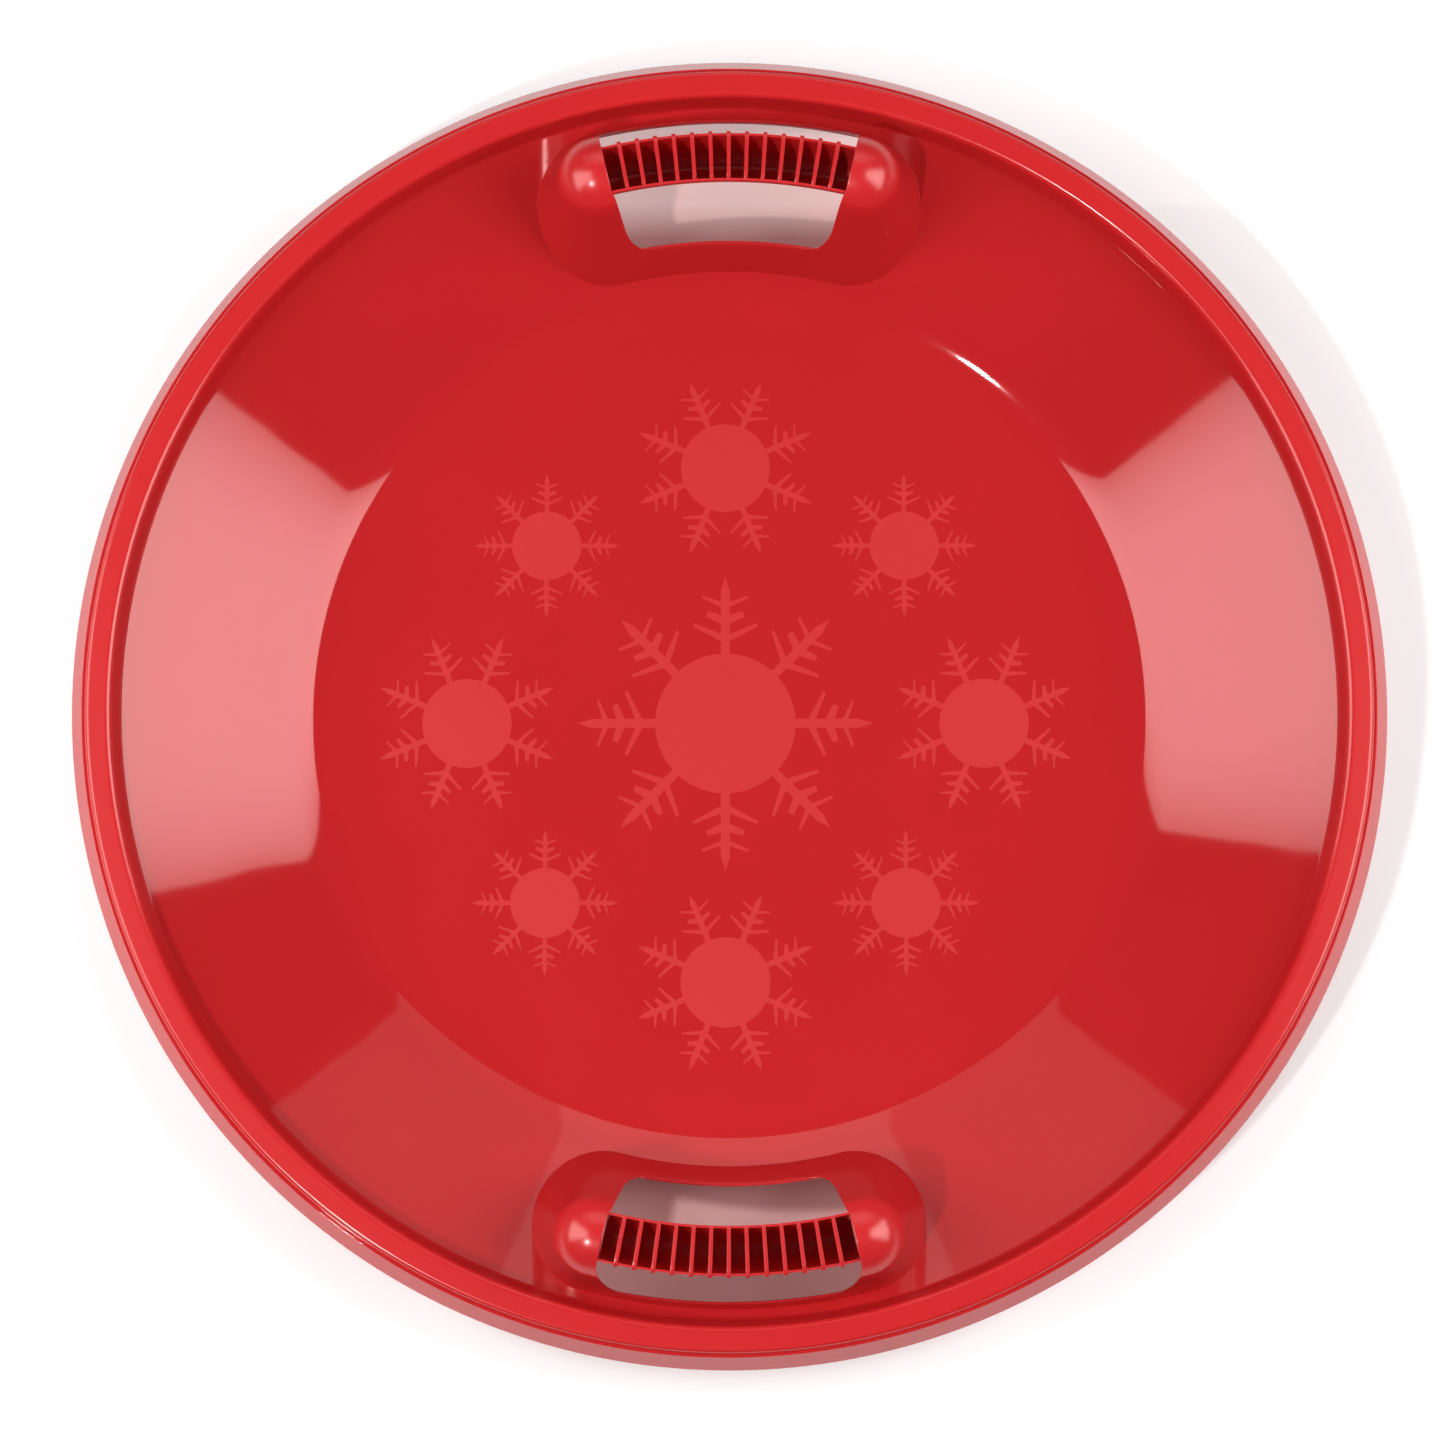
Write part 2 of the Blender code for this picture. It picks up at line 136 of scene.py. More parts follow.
# The ribbed grip bar
BAR_WIDTH = 0.0254
BAR_OFFSET = 0.0052
BAR_RISE = 0.0245
BAR_DEPTH = 0.0210
BAR_WALL = 0.0012
BAR_STEPS = 84
BAR_EDGE_ROUND = 0.0004
BAR_EDGE_STEPS = 3
BAR_EDGE_ANGLE = 50
BAR_SHARP_ANGLE = 40
RIB_COUNT = 13
RIB_THICKNESS = 0.0019
RIB_CROWN = 0.0015
RIB_CROWN_POWER = 8
RIB_CROWN_STEPS = 24
RIB_REACH = 0.0013
RIB_FOOT = 0.0040
END_GAP = 0.0003

# The print on the floor
PRINT_THICKNESS = 0.00006
PRINT_LIFT = 0.00002
PRINT_MARGIN = 0.0180
PRINT_OFFSET = (-0.0020, -0.0042)
LARGE_RING_SHARE = 0.7325
SMALL_RING_SHARE = 0.7195
CENTRE_FLAKE_SHARE = 0.4195
LARGE_FLAKE_SHARE = 0.2670
SMALL_FLAKE_SHARE = 0.2075

# A snowflake's arm, in shares of the radius of its tips. Each barb has its root along the
# arm, its tip along the arm, its tip to the side, and its width at the root and the tip.
ARM_COUNT = 8
SECTOR_ARC_STEPS = 6
DISC_SHARE = 0.475
STEM_SHARE = 0.031
SPEAR_SHARE = 0.900
BARB_SHARES = (
    (0.585, 0.672, 0.217, 0.046, 0.022),
    (0.709, 0.745, 0.125, 0.056, 0.040),
    (0.812, 0.862, 0.156, 0.034, 0.018),
)

# The red plastic. It is painted lighter on the rim and the raised parts, for the light that they
# catch, and it is duller on the rim's top.
PLASTIC_IOR = 1.75
PLASTIC_SHINE_TINT = (1.0, 0.73, 0.71, 1)
DEEPER_RED = (0.554, 0.0176, 0.0201, 1)
LIGHTER_RED = (0.598, 0.0206, 0.0234, 1)
WAVE_HEIGHT = 0.00007
DISH_ROUGHNESS = (0.03, 0.06)
HANDLE_ROUGHNESS = (0.22, 0.28)
# Painted light: how much lighter the rim and the raised parts are painted, and where it begins
# and where it is full
RIM_PAINTED_LIGHT = 1.20
PAINTED_LIGHT_INSIDE_RIM = 0.0010
PAINTED_LIGHT_ON_RIM = 0.0004
PAINTED_LIGHT_ABOVE_RIM = 0.0070
FULL_PAINTED_LIGHT_ABOVE_RIM = 0.0200
RIM_HAZE = 0.16
HAZE_BELOW_TOP = 0.0010
FULL_HAZE_BELOW_TOP = 0.0001

# The print's ink
INK_IOR = 1.46
DEEPER_INK = (0.620, 0.0265, 0.0265, 1)
LIGHTER_INK = (0.655, 0.0305, 0.0305, 1)
INK_ROUGHNESS = (0.32, 0.40)

# The paper below: its tint and its glow, by distance from the axis and, at the rear, by Y.
# Beneath the sled the tint is painted pink light and the glow is painted light, faint at the
# front and stronger beneath the rear handle; beyond the sled the glow whitens the backdrop.
PAPER_REACH = 3.0
PAPER_HEIGHT = -0.0002
PAPER_ROUGHNESS = 0.9
PAINTED_PINK_LIGHT_PAPER = (0.93, 0.55, 0.54, 1)
WHITE_PAPER = (0.93, 0.93, 0.93, 1)
PAINTED_PINK_LIGHT_GLOW = (1, 0.93, 0.91, 1)
WHITE_GLOW = (1, 1, 1, 1)
TINT_RADII = (0.30, 0.34)
PAPER_GLOW = 0.26
# Painted light beneath the sled: faint at the front, stronger beneath the rear handle, and where
# along Y it grows
PAINTED_LIGHT_UNDER_SLED = 0.04
PAINTED_LIGHT_AT_REAR_HANDLE = 0.31
PAINTED_REAR_LIGHT_PLACES = (0.252, 0.270)
MIRRORED_GLOW_SHARE = 0.30

# The softboxes: a name, a place, the point that it faces, its width, height and radiance
SIDE_SOFTBOXES = (
    ("left_softbox", (-1.10, -0.015, 1.69), (0, -0.015, 1.69), 0.98, 2.52, 3.85),
    ("right_softbox", (1.10, 0.050, 1.69), (0, 0.050, 1.69), 1.03, 2.52, 4.35),
)
REAR_SOFTBOXES = (
    ("rear_softbox", (0, 1.80, 1.95), (0, 0, 1.95), 3.25, 1.90, 0.45),
    ("rear_middle_softbox", (0, 1.79, 1.95), (0, 0, 1.95), 1.20, 1.90, 0.45),
)
SOFTBOX_EDGE_FALL = 0.55
SOFTBOX_EDGE_POWER = 4

# The small lamp and the room's own light
KEY_PLACE = (-0.88, -0.93, 2.2)
KEY_SIZE = 0.14
KEY_RADIANCE = 367.0
ROOM_RADIANCE = 0.02

# The camera, as fitted to the picture
CAMERA_PLACE = (0.00494, -0.19975, 1.8730)
CAMERA_TURN = (0.10443, 0.00451, 0.0)
CAMERA_LENS = 90.82
CAMERA_SENSOR = 36

# Radii and heights that follow
rim_top = WALL + DISH_DEPTH
bead_foot_radius = OUTER_RADIUS - SKIRT_FLARE
bead_edge_radius = OUTER_RADIUS - BEAD_SETBACK
rim_outer_radius = bead_foot_radius - BEAD_LEAN
rim_inner_radius = rim_outer_radius - RIM_TOP_WIDTH
wall_top_radius = rim_inner_radius - RIM_WALL_LEAN
wall_top = rim_top - RIM_WALL_HEIGHT
floor_corner_radius = wall_top_radius - WALL_RUN
wall_slope = (wall_top - WALL) / WALL_RUN
flat_floor_radius = floor_corner_radius - FLOOR_FILLET * math.tan(math.atan(wall_slope) / 2)
print_radius = flat_floor_radius - PRINT_MARGIN

surround_outer_radius = wall_top_radius - SURROUND_SETBACK
surround_end_radius = SURROUND_WIDTH / 2
surround_middle_radius = surround_outer_radius - surround_end_radius
opening_half_angle = OPENING_LENGTH / 2 / surround_middle_radius
surround_half_angle = opening_half_angle + SURROUND_END_MARGIN / surround_middle_radius
surround_inner_radius = surround_outer_radius - SURROUND_WIDTH
opening_inner_radius = surround_inner_radius + OPENING_INNER_MARGIN
opening_outer_radius = surround_outer_radius - OPENING_OUTER_MARGIN
post_radius = surround_middle_radius + POST_OFFSET
post_top = rim_top + POST_RISE
bar_radius = surround_middle_radius + BAR_OFFSET
bar_half_angle = opening_half_angle + END_GAP / bar_radius
bar_inner_radius = bar_radius - BAR_WIDTH / 2
bar_top = rim_top + BAR_RISE
trough_top = bar_top - RIB_CROWN
trough_half = (BAR_WIDTH - RIB_REACH) / 2
trough_radius = bar_inner_radius + trough_half


def node_of(tree, kind, spot, **sockets):
    """A node in a tree at a spot on its sheet, with its inputs set by their names."""
    node = tree.nodes.new(kind)
    node.location = spot
    for name, value in sockets.items():
        node.inputs[name.replace("_", " ")].default_value = value
    return node


def wire(first, output, second, socket):
    """Joins an output of one node to an input of another one in the same tree."""
    first.id_data.links.new(first.outputs[output], second.inputs[socket])


def math_node(tree, operation, spot, first, second):
    """A math node on two values, each a number or another node's output."""
    node = node_of(tree, "ShaderNodeMath", spot)
    node.operation = operation
    for socket, value in zip(node.inputs, (first, second)):
        if isinstance(value, (int, float)):
            socket.default_value = value
        else:
            tree.links.new(value, socket)
    return node.outputs[0]


def vector_node(tree, operation, spot, vector):
    """A vector math node on another node's output."""
    node = node_of(tree, "ShaderNodeVectorMath", spot)
    node.operation = operation
    tree.links.new(vector, node.inputs[0])
    return node


def noise_node(tree, spot, place, **sockets):
    """Noise over the surface's own coordinates, with its inputs set by their names."""
    node = node_of(tree, "ShaderNodeTexNoise", spot, **sockets)
    wire(place, "Object", node, "Vector")
    return node.outputs["Fac"]


def map_node(tree, spot, value, span, results):
    """Maps a value's way over a span to the way between two results."""
    node = node_of(tree, "ShaderNodeMapRange", spot)
    names = ("From Min", "From Max", "To Min", "To Max")
    for name, number in zip(names, (*span, *results)):
        node.inputs[name].default_value = number
    tree.links.new(value, node.inputs["Value"])
    return node.outputs["Result"]


def colour_node(tree, spot, value, first, last):
    """A colour on the way from a first to a last one, led by a value."""
    node = node_of(tree, "ShaderNodeValToRGB", spot)
    node.color_ramp.elements[0].color = first
    node.color_ramp.elements[1].color = last
    tree.links.new(value, node.inputs["Fac"])
    return node.outputs["Color"]


def new_material(name):
    """A new material, its tree and its shader."""
    material = bpy.data.materials.new(name)
    material.use_nodes = True
    tree = material.node_tree
    return material, tree, tree.nodes["Principled BSDF"]


def red_plastic(name, roughness, rim_haze):
    """Glossy moulded plastic: an even red with a faint cloudiness, slight long waves and a warm
    shine. The rim, the posts' caps and the ribs are painted a little lighter, for the light that
    they catch, and the rim's top may be duller where it is rubbed."""
    material, tree, shader = new_material(name)
    shader.inputs["IOR"].default_value = PLASTIC_IOR
    shader.inputs["Specular Tint"].default_value = PLASTIC_SHINE_TINT
    place = node_of(tree, "ShaderNodeTexCoord", (-1300, 0))
    clouds = noise_node(tree, (-1050, 250), place, Scale=14.0, Detail=3.0)
    wear = noise_node(tree, (-1050, -50), place, Scale=60.0, Detail=5.0)
    waves = noise_node(tree, (-1050, -350), place, Scale=32.0, Detail=0.0)

    flat = vector_node(tree, "MULTIPLY", (-1050, 550), place.outputs["Object"])
    flat.inputs[1].default_value = (1, 1, 0)
    radius = vector_node(tree, "LENGTH", (-900, 550), flat.outputs["Vector"])
    parts = node_of(tree, "ShaderNodeSeparateXYZ", (-1050, -600))
    wire(place, "Object", parts, "Vector")
    height = parts.outputs["Z"]

    # Painted light: the red is lighter from the rim's inner edge outwards and on the parts well
    # above the rim, for the light that they catch
    painted_light_radii = (rim_inner_radius - PAINTED_LIGHT_INSIDE_RIM, rim_inner_radius + PAINTED_LIGHT_ON_RIM)
    painted_light_heights = (rim_top + PAINTED_LIGHT_ABOVE_RIM, rim_top + FULL_PAINTED_LIGHT_ABOVE_RIM)
    painted_lift = (1, RIM_PAINTED_LIGHT)
    outer = map_node(tree, (-750, 550), radius.outputs["Value"], painted_light_radii, painted_lift)
    upper = map_node(tree, (-750, 750), height, painted_light_heights, painted_lift)
    painted_light = math_node(tree, "MAXIMUM", (-600, 550), outer, upper)
    red = colour_node(tree, (-800, 250), clouds, DEEPER_RED, LIGHTER_RED)
    red_with_painted_light = vector_node(tree, "SCALE", (-500, 250), red)
    tree.links.new(painted_light, red_with_painted_light.inputs["Scale"])
    wire(red_with_painted_light, "Vector", shader, "Base Color")

    gloss = map_node(tree, (-800, -50), wear, (0, 1), roughness)
    top_face = (rim_top - HAZE_BELOW_TOP, rim_top - FULL_HAZE_BELOW_TOP)
    haze = map_node(tree, (-800, -600), height, top_face, (0, rim_haze))
    dull = math_node(tree, "ADD", (-500, -50), gloss, haze)
    tree.links.new(dull, shader.inputs["Roughness"])
    bump = node_of(tree, "ShaderNodeBump", (-500, -350), Strength=1.0, Distance=WAVE_HEIGHT)
    tree.links.new(waves, bump.inputs["Height"])
    wire(bump, "Normal", shader, "Normal")
    return material


def satin_print():
    """The print: a lighter, satin red with a fine mottle of the ink."""
    material, tree, shader = new_material("satin_light_red_print")
    shader.inputs["IOR"].default_value = INK_IOR
    place = node_of(tree, "ShaderNodeTexCoord", (-1300, 0))
    mottle = noise_node(tree, (-1050, 200), place, Scale=900.0, Detail=2.0)
    red = colour_node(tree, (-800, 200), mottle, DEEPER_INK, LIGHTER_INK)
    gloss = map_node(tree, (-800, -50), mottle, (0, 1), INK_ROUGHNESS)
    tree.links.new(red, shader.inputs["Base Color"])
    tree.links.new(gloss, shader.inputs["Roughness"])
    return material


def ray_at(angle):
    """The plan direction at an angle from +X."""
    return Vector((math.cos(angle), math.sin(angle)))


def rounded_path(corners, steps):
    """A path through (x, y, radius) corners, with each corner of a radius made an arc. The
    floor's wide fillet gets three times the steps of the others."""
    path = []
    last = len(corners) - 1
    for i, (x, y, radius) in enumerate(corners):
        corner = Vector((x, y))
        if radius == 0 or i in (0, last):
            path.append(corner)
            continue
        before = (Vector(corners[i - 1][:2]) - corner).normalized()
        after = (Vector(corners[i + 1][:2]) - corner).normalized()
        half = before.angle(after) / 2
        centre = corner + (before + after).normalized() * radius / math.sin(half)
        start = corner + before * radius / math.tan(half) - centre
        turn = start.angle_signed(corner + after * radius / math.tan(half) - centre)
        count = steps if radius < FLOOR_FILLET / 2 else steps * 3
        for step in range(count + 1):
            arc = start.copy()
            arc.rotate(Matrix.Rotation(-turn * step / count, 2))
            path.append(centre + arc)
    return path


def add_object(name, data):
    """A new object in the scene."""
    obj = bpy.data.objects.new(name, data)
    bpy.context.scene.collection.objects.link(obj)
    return obj


def settle(obj):
    """Makes an object's modifiers part of its mesh."""
    bpy.context.view_layer.update()
    graph = bpy.context.evaluated_depsgraph_get()
    mesh = bpy.data.meshes.new_from_object(obj.evaluated_get(graph))
    obj.modifiers.clear()
    obj.data = mesh
    mesh.name = obj.name


def new_tree(name, inputs):
    """A geometry tree with a geometry in and out and the named inputs for its sizes."""
    tree = bpy.data.node_groups.new(name, "GeometryNodeTree")
    add = tree.interface.new_socket
    add("Geometry", in_out="INPUT", socket_type="NodeSocketGeometry")
    add("Geometry", in_out="OUTPUT", socket_type="NodeSocketGeometry")
    for label, kind in inputs:
        add(label, in_out="INPUT", socket_type="NodeSocket" + kind)
    return tree, tree.nodes.new("NodeGroupInput"), tree.nodes.new("NodeGroupOutput")


def finish_tree(tree, geometry, material, group_out):
    """Ends a tree: its instances made real and its material set."""
    real = tree.nodes.new("GeometryNodeRealizeInstances")
    paint = tree.nodes.new("GeometryNodeSetMaterial")
    tree.links.new(geometry, real.inputs["Geometry"])
    wire(real, "Geometry", paint, "Geometry")
    tree.links.new(material, paint.inputs["Material"])
    wire(paint, "Geometry", group_out, "Geometry")


def grown(name, start_mesh, tree, values):
    """An object grown from a start mesh by a tree with these inputs, as a plain mesh."""
    obj = add_object(name, start_mesh)
    modifier = obj.modifiers.new("grown", "NODES")
    modifier.node_group = tree
    for item in tree.interface.items_tree:
        if item.in_out == "INPUT" and item.name in values:
            modifier[item.identifier] = values[item.name]
    settle(obj)
    return obj


def write_closed(bm, mesh):
    """Turns a closed form's faces outwards and writes it into a mesh."""
    bmesh.ops.recalc_face_normals(bm, faces=bm.faces)
    bm.to_mesh(mesh)
    bm.free()


def closed_outwards(mesh):
    """Merges a mesh's doubles and turns its faces outwards."""
    bm = bmesh.new()
    bm.from_mesh(mesh)
    bmesh.ops.remove_doubles(bm, verts=bm.verts, dist=MERGE_DISTANCE)
    write_closed(bm, mesh)


def smooth(mesh, degrees):
    """Smooths a mesh's shading, but not over edges sharper than an angle."""
    mesh.shade_smooth()
    mesh.set_sharp_from_angle(angle=math.radians(degrees))


def turning_tree():
    """Turns a closed profile about the dish's axis. It is drawn back from the reach, top down."""
    inputs = (("Reach", "Float"), ("Segments", "Int"), ("Material", "Material"))
    tree, group_in, group_out = new_tree("dish_turning", inputs)
    profile = tree.nodes.new("GeometryNodeMeshToCurve")
    circle = tree.nodes.new("GeometryNodeCurvePrimitiveCircle")
    turn = tree.nodes.new("GeometryNodeCurveToMesh")
    weld = tree.nodes.new("GeometryNodeMergeByDistance")
    weld.inputs["Distance"].default_value = MERGE_DISTANCE
    wire(group_in, "Geometry", profile, "Mesh")
    wire(group_in, "Reach", circle, "Radius")
    wire(group_in, "Segments", circle, "Resolution")
    wire(circle, "Curve", turn, "Curve")
    wire(profile, "Curve", turn, "Profile Curve")
    wire(turn, "Mesh", weld, "Geometry")
    finish_tree(tree, weld.outputs["Geometry"], group_in.outputs["Material"], group_out)
    return tree


def offset_corners(corners, distance):
    """Rounded corners moved to the right of the path, with their radii to suit."""
    points = [Vector(corner[:2]) for corner in corners]
    sides = []
    for first, second in zip(points, points[1:]):
        along = (second - first).normalized()
        sides.append(Vector((along.y, -along.x)))
    moved = []
    for i, corner in enumerate(corners):
        radius = corner[2]
        before = sides[max(i - 1, 0)]
        after = sides[min(i, len(sides) - 1)]
        half = (before + after).normalized()
        place = points[i] + half * distance / half.dot(after)
        left_turn = before.x * after.y - before.y * after.x > 0
        outer = radius + distance if left_turn else radius - distance
        moved.append((place.x, place.y, max(outer, 0) if radius else 0))
    return moved


def with_rows(path):
    """Adds points to a path's long straight runs, and close to their ends, so that the
    shading of the rounds doesn't reach into the flat faces."""
    fuller = [path[0]]
    for first, second in zip(path, path[1:]):
        run = second - first
        if run.length > ROW_SPACING / 2:
            margin = ROW_MARGIN / run.length
            count = math.ceil(run.length / ROW_SPACING)
            for step in range(count + 1):
                fuller.append(first + run * (margin + (1 - 2 * margin) * step / count))
        fuller.append(second)
    return fuller


def dish_outline():
    """The dish's closed section: its upper face out to the skirt, and its under face back,
    which leaves out the ledge."""
    ledge_height = rim_top - BEAD_DROP
    skirt_foot = (OUTER_RADIUS, rim_top - SKIRT_DROP, 0)
    inside = [
        (0, WALL, 0),
        (floor_corner_radius, WALL, FLOOR_FILLET),
        (wall_top_radius, wall_top, RIM_EDGE_ROUND),
        (rim_inner_radius, rim_top, RIM_EDGE_ROUND),
    ]
    upper = inside + [
        (bead_edge_radius, rim_top, BEAD_ROUND),
        (bead_edge_radius, ledge_height, LEDGE_ROUND),
        (bead_edge_radius + LEDGE_WIDTH, ledge_height, LEDGE_ROUND),
        skirt_foot,
    ]
    plain = inside + [
        (rim_outer_radius, rim_top, RIM_EDGE_ROUND),
        (bead_foot_radius, ledge_height, 0),
        skirt_foot,
    ]
    under = offset_corners(plain, WALL)
    under[0] = (0, 0, 0)
    upper_path = with_rows(rounded_path(upper, UPPER_ARC_STEPS))
    under_path = with_rows(rounded_path(under, UNDER_ARC_STEPS))
    return upper_path + under_path[::-1]


def surround_outline(inset, arc_steps=90, end_steps=60):
    """A surround's outline, a ring sector with round ends about +X, drawn in by an inset."""
    outline = []
    radius = surround_end_radius - inset
    for side in (1, -1):
        arc_radius = surround_middle_radius + side * radius
        for step in range(arc_steps):
            angle = side * surround_half_angle * (2 * step / arc_steps - 1)
            outline.append(ray_at(angle) * arc_radius)
        end_angle = side * surround_half_angle
        outward = ray_at(end_angle)
        for step in range(end_steps):
            spoke = outward * side * radius
            spoke.rotate(Matrix.Rotation(math.pi * step / end_steps, 2))
            outline.append(outward * surround_middle_radius + spoke)
    return outline


def lower_of(first, second, blend):
    """The lower of two heights, rounded over a blend where they cross."""
    share = np.maximum(blend - np.abs(first - second), 0) / blend
    return np.minimum(first, second) - share * share * blend / 4


def ramp(value, low, high):
    """Goes smoothly from 0 at low to 1 at high."""
    share = np.clip((value - low) / (high - low), 0, 1)
    return share * share * (3 - 2 * share)


def wall_height(radius):
    """Height of the dish's conical wall at a radius."""
    return wall_top - (wall_top_radius - radius) * wall_slope


def lip_height(radius):
    """Height of the lip's plane, which rises from the opening's inner to its outer side."""
    share = (radius - opening_inner_radius) / (opening_outer_radius - opening_inner_radius)
    return rim_top - INNER_LIP_DROP + share * (INNER_LIP_DROP - OUTER_LIP_DROP)


def surround_places(x, y):
    """For plan points about +X: their radius, their length along the middle line, how far
    they lie inside the surround's outline, and the wall's height where they meet it."""
    radius = np.hypot(x, y)
    angle = np.abs(np.arctan2(y, x))
    arc = angle * surround_middle_radius
    side = np.where(radius > surround_middle_radius, 1, -1)
    inside = surround_end_radius - np.abs(radius - surround_middle_radius)
    foot = surround_middle_radius + side * surround_end_radius
    centre_x = surround_middle_radius * math.cos(surround_half_angle)
    centre_y = surround_middle_radius * math.sin(surround_half_angle)
    away_x, away_y = x - centre_x, np.abs(y) - centre_y
    away = np.maximum(np.hypot(away_x, away_y), 1e-9)
    reach = surround_end_radius / away
    end_foot = np.hypot(centre_x + away_x * reach, centre_y + away_y * reach)
    at_end = angle > surround_half_angle
    inside = np.where(at_end, surround_end_radius - away, inside)
    foot = np.where(at_end, end_foot, foot)
    return radius, arc, inside, wall_height(foot)


def opening_lean(radius):
    """How far the opening's end comes in, on the way from the bar to the inner lip."""
    inward = bar_inner_radius - radius
    step = OPENING_STEP * ramp(inward, OPENING_STEP_FROM, OPENING_STEP_TO)
    return step + OPENING_LEAN * np.maximum(inward, 0)


def opening_distance(radius, arc, outer_corner):
    """How far plan points lie outside the hand opening's outline."""
    outer = radius > surround_middle_radius
    arc = arc + opening_lean(radius)
    corner = np.where(outer, outer_corner, OPENING_INNER_CORNER)
    edge = np.where(outer, radius - opening_outer_radius, opening_inner_radius - radius)
    along = arc - (OPENING_LENGTH / 2 - corner)
    across = edge + corner
    beyond = np.hypot(np.maximum(along, 0), np.maximum(across, 0))
    return beyond + np.minimum(np.maximum(along, across), 0) - corner


def cap_height(x, y):
    """The domed cap of the post at the opening's end, and its steep fall outside its ring."""
    end_x, end_y = math.cos(opening_half_angle), math.sin(opening_half_angle)
    half = POST_CAP_WIDTH / 2
    across = x * end_x + np.abs(y) * end_y - post_radius
    along = np.abs(y) * end_x - x * end_y - (POST_CAP_LENGTH - half)
    share = np.hypot(across, np.maximum(along, 0)) / half
    within = np.minimum(share, 1)
    fall = POST_CAP_CROWN * (CAP_EVEN_BOW * within**2 + CAP_RING_BOW * within**6)
    edge_slope = POST_CAP_CROWN * (2 * CAP_EVEN_BOW + 6 * CAP_RING_BOW) / half
    return post_top - fall - edge_slope * (share - within) * half


def surround_height(x, y, inward, outer_corner):
    """Height of the surround's outer face, or with an inward wall that of its hollow."""
    radius, arc, inside, foot_height = surround_places(x, y)
    beside_post = ramp(arc, POST_SLOPE_FROM, POST_SLOPE_TO)
    slope = FLANK_SLOPE + (POST_SLOPE - FLANK_SLOPE) * beside_post
    flank = foot_height + slope * (inside - inward)
    past = arc - LIP_CLIMB_START
    climb = LIP_CLIMB_SLOPE * (past + np.hypot(past, LIP_CLIMB_ROUND)) / 2
    lip = lip_height(radius) + climb - inward
    cap = cap_height(x, y) - inward
    height = lower_of(flank, lip, LIP_ROUND)
    height = lower_of(height, cap, CAP_RING_ROUND)
    if inward:
        return height
    wall = wall_height(radius) - FOOT_SINK
    height = -lower_of(-height, -wall, FOOT_ROUND)
    inner_side = ramp(bar_inner_radius - radius, 0, INNER_EDGE_REACH)
    edge_round = EDGE_ROUND + (INNER_EDGE_ROUND - EDGE_ROUND) * inner_side
    over = np.clip(edge_round - opening_distance(radius, arc, outer_corner), 0, edge_round)
    return height - edge_round + np.sqrt(edge_round**2 - over**2)


def foot_point(stage):
    """A point of the surround's outline and its outward direction. The stage goes from 0 at
    the outer side's middle, by 1 and 2 at the round end's ends, to 3 at the inner side's."""
    if 1 <= stage <= 2:
        outward = ray_at(surround_half_angle)
        spoke = outward.copy()
        spoke.rotate(Matrix.Rotation(math.pi * (stage - 1), 2))
        return outward * surround_middle_radius + spoke * surround_end_radius, spoke
    angle = surround_half_angle * (stage if stage < 1 else 3 - stage)
    ray = ray_at(angle)
    if stage < 1:
        return ray * surround_outer_radius, ray
    return ray * surround_inner_radius, -ray


def opening_point(stage, outer):
    """A point of the hand opening's outline, from 0 at the outer side's middle to 5 at the
    inner side's, with a whole stage each for the sides, the corners and the end. The outer
    value is the radius of its outer corners. The lean of its end eases out over the last
    quarter stage."""
    half = OPENING_LENGTH / 2
    inner = OPENING_INNER_CORNER
    if stage < 1:
        arc, radius = (half - outer) * stage, opening_outer_radius
    elif stage < 2:
        turn = (stage - 1) * math.pi / 2
        arc = half - outer + outer * math.sin(turn)
        radius = opening_outer_radius - outer + outer * math.cos(turn)
    elif stage < 3:
        arc = half
        first = opening_outer_radius - outer
        radius = first + (opening_inner_radius + inner - first) * (stage - 2)
    elif stage < 4:
        turn = (stage - 3) * math.pi / 2
        arc = half - inner + inner * math.cos(turn)
        radius = opening_inner_radius + inner - inner * math.sin(turn)
    else:
        arc, radius = (half - inner) * (5 - stage), opening_inner_radius
    if stage > 0 and stage < 5:
        arc -= float(opening_lean(radius)) * min(1, (5 - stage) * 4)
    angle = arc / surround_middle_radius
    return ray_at(angle) * radius


def surround_rays(outer_corner):
    """Plan lines from just outside the surround's outline to the opening's, all round."""
    half = OPENING_LENGTH / 2
    outer_turn = (half - outer_corner) / surround_middle_radius / surround_half_angle
    inner_turn = (half - OPENING_INNER_CORNER) / surround_middle_radius / surround_half_angle
    foot_stages = (0, outer_turn, *END_STAGES, 3 - inner_turn, 3)
    lines = []
    for number, count in enumerate(LINES_PER_STRETCH):
        first, last = foot_stages[number : number + 2]
        for step in range(count):
            share = step / count
            foot, outward = foot_point(first + (last - first) * share)
            end = opening_point(number + share, outer_corner)
            lines.append((foot + outward * FOOT_REACH, end))
    foot, outward = foot_point(3)
    lines.append((foot + outward * FOOT_REACH, opening_point(5, outer_corner)))
    other_side = [(Vector((a.x, -a.y)), Vector((b.x, -b.y))) for a, b in lines[-2:0:-1]]
    lines += other_side
    starts = np.array([list(a) for a, b in lines])
    ends = np.array([list(b) for a, b in lines])
    return starts, ends


def evened(line, heights, count):
    """Shares of a line at which a section is drawn, closer together where it bends."""
    share = np.linspace(0, 1, len(heights))
    run = np.diff(share) * line
    rise = np.diff(heights)
    length = np.hypot(run, rise)
    turn = np.abs(np.diff(np.unwrap(np.arctan2(rise, run))))
    turn = np.append(turn, 0)
    spend = length / length.sum() + BEND_WEIGHT * turn / max(turn.sum(), 1e-9)
    total = np.concatenate([[0], np.cumsum(spend)])
    return np.interp(np.linspace(0, total[-1], count), total, share)


